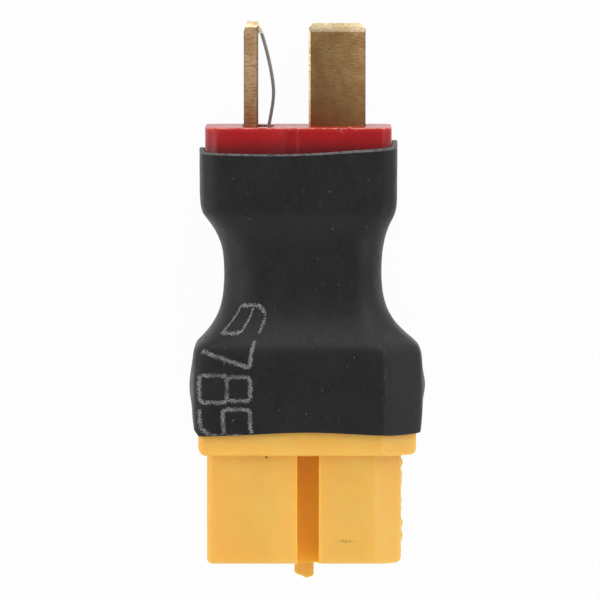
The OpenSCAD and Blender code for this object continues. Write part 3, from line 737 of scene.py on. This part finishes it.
def sleeve_tree(skin, cut):
    """Smooths the blank, presses soft ripples into its skin and gives both finishes."""
    tree, start, end = new_tree("shrunk sleeve", ["Ripple height", "Ripple size"])
    nodes, links = tree.nodes, tree.links
    smooth = nodes.new("GeometryNodeSubdivisionSurface")
    smooth.inputs["Level"].default_value = SKIN_LEVELS
    crease = nodes.new("GeometryNodeInputNamedAttribute")
    crease.data_type = "FLOAT"
    crease.inputs["Name"].default_value = "crease_edge"
    links.new(start.outputs["Geometry"], smooth.inputs["Mesh"])
    links.new(crease.outputs["Attribute"], smooth.inputs["Edge Crease"])
    place = nodes.new("GeometryNodeInputPosition")
    soften = nodes.new("GeometryNodeBlurAttribute")
    soften.data_type = "FLOAT_VECTOR"
    soften.inputs["Iterations"].default_value = SOFTENING_STEPS
    vector_in = next(s for s in soften.inputs if s.name == "Value" and s.type == "VECTOR")
    links.new(place.outputs["Position"], vector_in)
    links.new(marked(tree, "outer_skin"), soften.inputs["Weight"])
    ease = nodes.new("GeometryNodeSetPosition")
    links.new(smooth.outputs["Mesh"], ease.inputs["Geometry"])
    links.new(marked(tree, "outer_skin"), ease.inputs["Selection"])
    links.new(next(s for s in soften.outputs if s.type == "VECTOR"), ease.inputs["Position"])
    height = nodes.new("ShaderNodeMath")
    height.operation = "MULTIPLY"
    links.new(position_noise(tree, start.outputs["Ripple size"]), height.inputs[0])
    links.new(start.outputs["Ripple height"], height.inputs[1])
    normal = nodes.new("GeometryNodeInputNormal")
    push = nodes.new("ShaderNodeVectorMath")
    push.operation = "SCALE"
    links.new(normal.outputs["Normal"], push.inputs[0])
    links.new(height.outputs["Value"], push.inputs["Scale"])
    move = nodes.new("GeometryNodeSetPosition")
    links.new(ease.outputs["Geometry"], move.inputs["Geometry"])
    links.new(marked(tree, "outer_skin"), move.inputs["Selection"])
    links.new(push.outputs["Vector"], move.inputs["Offset"])
    trim = nodes.new("GeometryNodeSetMaterial")
    trim.inputs["Material"].default_value = cut
    links.new(shaded_and_coated(tree, move.outputs["Geometry"], skin), trim.inputs["Geometry"])
    links.new(marked(tree, "cut_end"), trim.inputs["Selection"])
    links.new(trim.outputs["Geometry"], end.inputs["Geometry"])
    return tree


skin_black = shrunk_skin()
highlit_cut_black = highlit_cut_polyolefin()
sleeve = grown("shrunk_sleeve", sleeve_blank(), sleeve_tree(skin_black, highlit_cut_black),
               {"Ripple height": 0.06 * MM, "Ripple size": 1.6 * MM})
socket_rim = min(v.co.y for v in sleeve.data.vertices)
plug_rim = max(v.co.y for v in sleeve.data.vertices)
for vert in sleeve.data.vertices:
    for middle, reach, height in SWELLINGS:
        near = 1 - (vert.co / MM - Vector(middle)).length / reach
        if near > 0:
            vert.co.x += math.copysign(height * MM * near * near * (3 - 2 * near), middle[0])
    # Both ends crept out a little, and the one on the flange was cut shorter at its left side
    aside = min(1, max(0, (SNIP_RIGHT_X - vert.co.x) / SNIP_BLEND))
    at_socket = max(0, 1 - (vert.co.y - socket_rim) / SNIP_REACH)
    vert.co.y += (SNIP_LENGTH * aside - END_CREEP) * at_socket
    vert.co.y += END_CREEP * max(0, 1 - (plug_rim - vert.co.y) / END_CREEP_REACH)
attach(sleeve, "adapter")
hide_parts("shrink_sleeve")

# Print on the sleeve. Plain digits in thin grey ink, set along the tube before it was shrunk:
# they narrow with the tube at its neck, the cut end takes off part of the last one, and the
# ink is worn to dots at the borders of its strokes.
DIGITS = "6789"
DIGIT_HEIGHT = 3.75 * MM
DIGIT_WIDTH = 2 * MM
DIGIT_STEP = 2.52 * MM
FIRST_DIGIT_Y = -0.24 * MM
DIGIT_FOOT_X = -7.95 * MM
STROKE_WIDTH = 0.4 * MM
STROKE_STEP = 0.1 * MM
CORNER_CUT = 0.14
INK_LIFT = 0.012 * MM
# Where the tube kept its full width, from which the digits' places round it are taken
UNDRAWN_Y = nose_root.y + 5 * MM
# The places are found from well outside the tube, and none lies nearer its middle than this
OUTSIDE = 0.1
LEAST_RADIUS = 4 * MM
# Corners of each stroke, in shares of the digit's width and height; a loop ends where it began
SIX = [[(1, 1), (0.32, 1), (0, 0.76), (0, 0), (1, 0), (1, 0.54), (0, 0.54)]]
SHAPES = {
    "6": SIX,
    "7": [[(0, 1), (1, 1), (0.36, 0)]],
    "8": [[(0.5, 0.54), (1, 0.54), (1, 0), (0, 0), (0, 0.54), (0.5, 0.54)],
          [(0.5, 0.54), (0.06, 0.54), (0.06, 1), (0.94, 1), (0.94, 0.54), (0.5, 0.54)]],
    "9": [[(1 - across, 1 - up) for across, up in SIX[0]]],
}


def worn_ink():
    material, nodes, links, shader = surface("worn_ink")
    border = nodes.new("ShaderNodeAttribute")
    border.attribute_name = "stroke_border"
    dots = mottle(nodes, links, (0.1 * MM, 0.1 * MM, 0.2 * MM), 2, 0.6)
    wear = mottle(nodes, links, (0.8 * MM, 0.8 * MM, 0.8 * MM), 2)
    wear_and_glint = nodes.new("ShaderNodeMath")
    wear_and_glint.operation = "MULTIPLY_ADD"
    wear_and_glint.inputs[1].default_value = -0.2
    links.new(border.outputs["Fac"], wear_and_glint.inputs[0])
    links.new(dots, wear_and_glint.inputs[2])
    kept = times(nodes, links, ranged(nodes, links, wear_and_glint.outputs["Value"], 0.36, 0.43),
                 ranged(nodes, links, wear, 0.32, 0.56, 0.5, 1))
    colour = mixed(nodes, links, kept, srgb(29, 29, 30), srgb(126, 126, 130))
    links.new(colour, shader.inputs["Base Color"])
    shader.inputs["Roughness"].default_value = 0.55
    shader.inputs["Specular IOR Level"].default_value = 0.3
    return material


def rounded_path(corners):
    """The path through the corners, each corner cut and bowed."""
    path = [corners[0]]
    for before, corner, after in zip(corners, corners[1:], corners[2:]):
        here = Vector(corner)
        reach = [Vector(other) - here for other in (before, after)]
        cut = [here + r.normalized() * min(CORNER_CUT, r.length / 2) for r in reach]
        for share in (0, 0.25, 0.5, 0.75, 1):
            path.append(tuple(cut[0].lerp(here, share).lerp(here.lerp(cut[1], share), share)))
    return path + [corners[-1]]


def stroke_points(corners):
    """Even steps along a stroke, across and up the flat digit, each with its direction."""
    path = [Vector((across * DIGIT_WIDTH, up * DIGIT_HEIGHT))
            for across, up in rounded_path(corners)]
    points = []
    for begin, finish in zip(path, path[1:]):
        count = max(1, round((finish - begin).length / STROKE_STEP))
        points += [(begin.lerp(finish, k / count), (finish - begin).normalized())
                   for k in range(count)]
    return points + [(path[-1], (path[-1] - path[-2]).normalized())]


def tube_middle(skin, y):
    """The middle of the sleeve's section at the place y, which keeps still past UNDRAWN_Y."""
    whole_y = max(y, UNDRAWN_Y)
    left = skin.ray_cast(Vector((-1, whole_y, nose_root.z)), Vector((1, 0, 0)))[0]
    right = skin.ray_cast(Vector((1, whole_y, nose_root.z)), Vector((-1, 0, 0)))[0]
    return Vector(((left.x + right.x) / 2, y, nose_root.z))


def on_tube(skin, across, up, first_y):
    """Where the ink at a digit's own place came to lie, or None where the sleeve has ended."""
    flat_place = Vector((DIGIT_FOOT_X + up, UNDRAWN_Y, 1))
    on_flat = skin.ray_cast(flat_place, Vector((0, 0, -1)))[0]
    outward = (on_flat - tube_middle(skin, UNDRAWN_Y)).normalized()
    start = tube_middle(skin, first_y - across) + outward * OUTSIDE
    hit, normal, _, _ = skin.ray_cast(start, -outward)
    return hit and (start - hit).length < OUTSIDE - LEAST_RADIUS and hit + normal * INK_LIFT


def add_stroke(form, border, skin, corners, first_y):
    """Lays one stroke on the sleeve as a ribbon four faces wide."""
    rows = []
    for point, direction in stroke_points(corners):
        aside = Vector((-direction.y, direction.x)) * STROKE_WIDTH / 2
        row = []
        for share in (-1, -0.5, 0, 0.5, 1):
            spot_on = point + aside * share
            place = on_tube(skin, spot_on.x, spot_on.y, first_y)
            row.append(place and form.verts.new(place))
            if place:
                row[-1][border] = abs(share)
        rows.append(row)
    for low, high in zip(rows, rows[1:]):
        for quad in zip(low, low[1:], high[1:], high):
            if all(quad):
                form.faces.new(quad).smooth = True


skin_tree = BVHTree.FromPolygons([v.co for v in sleeve.data.vertices],
                                 [p.vertices for p in sleeve.data.polygons])
printed = bmesh.new()
stroke_border = printed.verts.layers.float.new("stroke_border")
for order, character in enumerate(DIGITS):
    for corners in SHAPES[character]:
        add_stroke(printed, stroke_border, skin_tree, corners, FIRST_DIGIT_Y - order * DIGIT_STEP)
for face in printed.faces:
    face.normal_update()
    if face.normal.z < 0:
        face.normal_flip()
print_mesh = bpy.data.meshes.new("sleeve_print")
printed.to_mesh(print_mesh)
printed.free()
print_mesh.materials.append(worn_ink())
sleeve_print = bpy.data.objects.new("sleeve_print", print_mesh)
bpy.context.scene.collection.objects.link(sleeve_print)
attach(sleeve_print, "adapter")

# Dust. Pale specks of fluff and plastic that cling to the sleeve, thinly and without order,
# and two short hairs that are caught on its rim at the plug housing.


def dust_grey():
    material, nodes, links, shader = surface("dust_grey")
    tone = mottle(nodes, links, (0.5 * MM, 0.5 * MM, 0.5 * MM))
    links.new(mixed(nodes, links, tone, srgb(50, 50, 50), srgb(88, 88, 86)),
              shader.inputs["Base Color"])
    shader.inputs["Roughness"].default_value = 0.8
    return material


def dust_tree(material, seed):
    """Flat specks of random size on the sleeve's outer skin, so many to the square metre."""
    tree, start, end = new_tree("clinging dust", ["Specks", "Speck size"])
    points = tree.nodes.new("GeometryNodeDistributePointsOnFaces")
    points.inputs["Seed"].default_value = seed
    tree.links.new(start.outputs["Geometry"], points.inputs["Mesh"])
    tree.links.new(marked(tree, "outer_skin"), points.inputs["Selection"])
    tree.links.new(start.outputs["Specks"], points.inputs["Density"])
    specks = chips_on(tree, points.outputs["Points"], start.outputs["Speck size"],
                      (0.2, 0.2, 0.1), (1, 1.4, 0.2), seed + 1, points.outputs["Rotation"])
    tree.links.new(shaded_and_coated(tree, specks, material), end.inputs["Geometry"])
    return tree


dust_pale = dust_grey()
dust = grown("sleeve_dust", sleeve.data.copy(), dust_tree(dust_pale, 7),
             {"Specks": 150000.0, "Speck size": 0.09 * MM})
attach(dust, "adapter")
hair_y = mating_face.y - 1.85 * MM
hair_z = plug_high[2] + 0.46 * MM
for number, begin_x, finish_x in ((1, -2.35 * MM, -2.6 * MM), (2, -2.85 * MM, -2.75 * MM)):
    hair_line = line_mesh((begin_x, hair_y, hair_z), (finish_x, hair_y - 0.3 * MM, hair_z))
    hair = grown(f"rim_hair_{number}", hair_line, bead_tree(dust_pale),
                 {"Bead radius": 0.02 * MM, "Wave height": 0.9 * MM, "Wave size": 0.2 * MM})
    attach(hair, "adapter")

# Studio. A pale floor, a bright surround that darkens towards the camera and low down at the
# left and right, and soft lamps.
FLOOR_SIZE = 3.0
FLOOR_Z = -0.02 * MM
FLOOR_GLOW = 0.96
floor_mesh = bpy.data.meshes.new("floor")
half = FLOOR_SIZE / 2
corners = ((-half, -half, FLOOR_Z), (half, -half, FLOOR_Z), (half, half, FLOOR_Z),
           (-half, half, FLOOR_Z))
floor_mesh.from_pydata(corners, [], [(0, 1, 2, 3)])
floor = bpy.data.objects.new("floor", floor_mesh)
bpy.context.scene.collection.objects.link(floor)


def seen_or_mirrored(nodes, links):
    """1 for rays from the camera, from gloss and through glass, else 0."""
    path = nodes.new("ShaderNodeLightPath")
    total = path.outputs["Is Camera Ray"]
    for label in ("Is Glossy Ray", "Is Transmission Ray"):
        most = nodes.new("ShaderNodeMath")
        most.operation = "MAXIMUM"
        links.new(total, most.inputs[0])
        links.new(path.outputs[label], most.inputs[1])
        total = most.outputs["Value"]
    return total


floor_material, nodes, links, shader = surface("pale_floor")
shader.inputs["Base Color"].default_value = (0.85, 0.85, 0.85, 1)
shader.inputs["Roughness"].default_value = 0.9
shader.inputs["Specular IOR Level"].default_value = 0
glow = nodes.new("ShaderNodeEmission")
glow.inputs["Color"].default_value = (1, 1, 1, 1)
glow.inputs["Strength"].default_value = 1
part_glow = nodes.new("ShaderNodeMath")
part_glow.operation = "MULTIPLY"
part_glow.inputs[1].default_value = FLOOR_GLOW
links.new(seen_or_mirrored(nodes, links), part_glow.inputs[0])
blend = nodes.new("ShaderNodeMixShader")
links.new(part_glow.outputs["Value"], blend.inputs["Fac"])
links.new(shader.outputs["BSDF"], blend.inputs[1])
links.new(glow.outputs["Emission"], blend.inputs[2])
links.new(blend.outputs["Shader"], nodes["Material Output"].inputs["Surface"])
floor_mesh.materials.append(floor_material)

world = bpy.data.worlds.new("studio")
bpy.context.scene.world = world
world.use_nodes = True
nodes, links = world.node_tree.nodes, world.node_tree.links
background = nodes["Background"]
direction = nodes.new("ShaderNodeTexCoord")
split = nodes.new("ShaderNodeSeparateXYZ")
links.new(direction.outputs["Generated"], split.inputs["Vector"])
overhead = ranged(nodes, links, split.outputs["Z"], 0.45, 0.93, 1.05, 0.3)
# Along an axis, the strength goes from one share to another between two places
changes = (("Y", -0.8, 0.8, 0.95, 1.15), ("X", -0.95, -0.5, 0.5, 1), ("X", 0.5, 0.95, 1, 0.7))
for axis, begin, finish, share_before, share_after in changes:
    share = ranged(nodes, links, split.outputs[axis], begin, finish, share_before, share_after)
    overhead = times(nodes, links, overhead, share)
path = nodes.new("ShaderNodeLightPath")
pick = nodes.new("ShaderNodeMix")
pick.data_type = "FLOAT"
links.new(path.outputs["Is Camera Ray"], pick.inputs["Factor"])
links.new(overhead, pick.inputs["A"])
pick.inputs["B"].default_value = 1
links.new(pick.outputs["Result"], background.inputs["Strength"])
background.inputs["Color"].default_value = (1, 1, 1, 1)


def soft_lamp(name, place, size, power):
    """A square lamp that faces the middle of the part."""
    light = bpy.data.lights.new(name, "AREA")
    light.size = size
    light.energy = power
    lamp = bpy.data.objects.new(name, light)
    lamp.location = place
    lamp.rotation_euler = (-Vector(place)).to_track_quat("-Z", "Y").to_euler()
    bpy.context.scene.collection.objects.link(lamp)


soft_lamp("far_lamp", (0.15, 0.5, 0.2), 0.35, 0.55)
soft_lamp("near_left_lamp", (-0.5, -0.3, 0.17), 0.35, 0.45)
soft_lamp("low_left_lamp", (-0.5, 0.08, 0.17), 0.35, 0.4)
soft_lamp("high_left_lamp", (-0.38, 0.08, 0.4), 0.25, 0.35)
soft_lamp("right_lamp", (0.42, 0.3, 0.36), 0.3, 0.6)
soft_lamp("near_right_lamp", (0.42, -0.3, 0.36), 0.3, 0.5)

# Camera. Nearly square on to the part's broad face, through a long lens, and leaning a
# little over the blade end so that the plug housing's mating face just shows.
PIXELS = 600
PIXELS_PER_MM = 13.5
VIEW_DISTANCE = 0.6
LEAN = math.radians(3.7)
VIEW_CENTRE = Vector((-0.54 * MM, 0.0, 4.5 * MM))
lens = bpy.data.cameras.new("camera")
lens.sensor_width = 36
lens.lens = lens.sensor_width * VIEW_DISTANCE / (PIXELS / PIXELS_PER_MM * MM)
lens.clip_start = 0.01
lens.clip_end = 10
camera = bpy.data.objects.new("camera", lens)
camera.location = VIEW_CENTRE + VIEW_DISTANCE * Vector((0, math.sin(LEAN), math.cos(LEAN)))
camera.rotation_euler = (-LEAN, 0, 0)
bpy.context.scene.collection.objects.link(camera)
bpy.context.scene.camera = camera
bpy.context.scene.view_settings.view_transform = "Standard"
